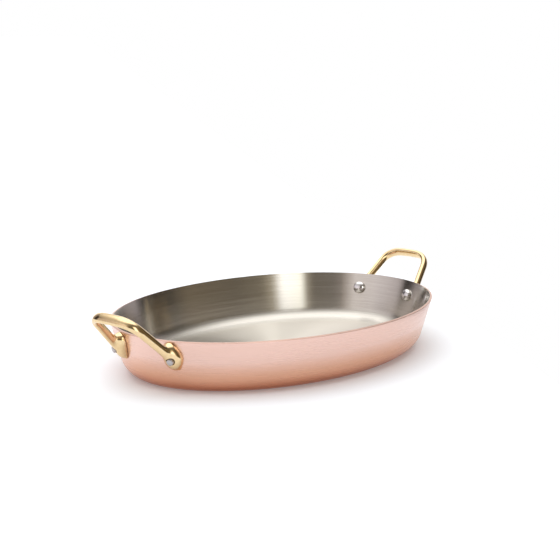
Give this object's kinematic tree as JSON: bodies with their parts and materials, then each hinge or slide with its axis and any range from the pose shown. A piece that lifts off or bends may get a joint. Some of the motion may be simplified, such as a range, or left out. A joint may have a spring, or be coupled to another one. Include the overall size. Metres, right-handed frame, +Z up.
{
  "type": "oval baking dish",
  "caption": "Oval flared copper baking dish with a bonded steel lining and looped cast brass handles riveted to its ends.",
  "frame": {"origin": "middle of the base, on the surface that the dish stands on", "axes": "+X along the dish from the left handle to the right handle, +Y to the back, +Z up"},
  "size_m": [0.386, 0.224, 0.0651],
  "materials": {
    "copper": "satin polished copper",
    "lining": "stainless steel brushed round the dish",
    "brass": "polished cast brass",
    "rivet_steel": "polished stainless steel"
  },
  "bodies": {
    "root": {"copper_body": "copper", "steel_lining": "lining", "left_handle": "brass", "right_handle": "brass", "left_front_rivet": "rivet_steel", "left_back_rivet": "rivet_steel", "right_front_rivet": "rivet_steel", "right_back_rivet": "rivet_steel"}
  },
  "joints": []
}
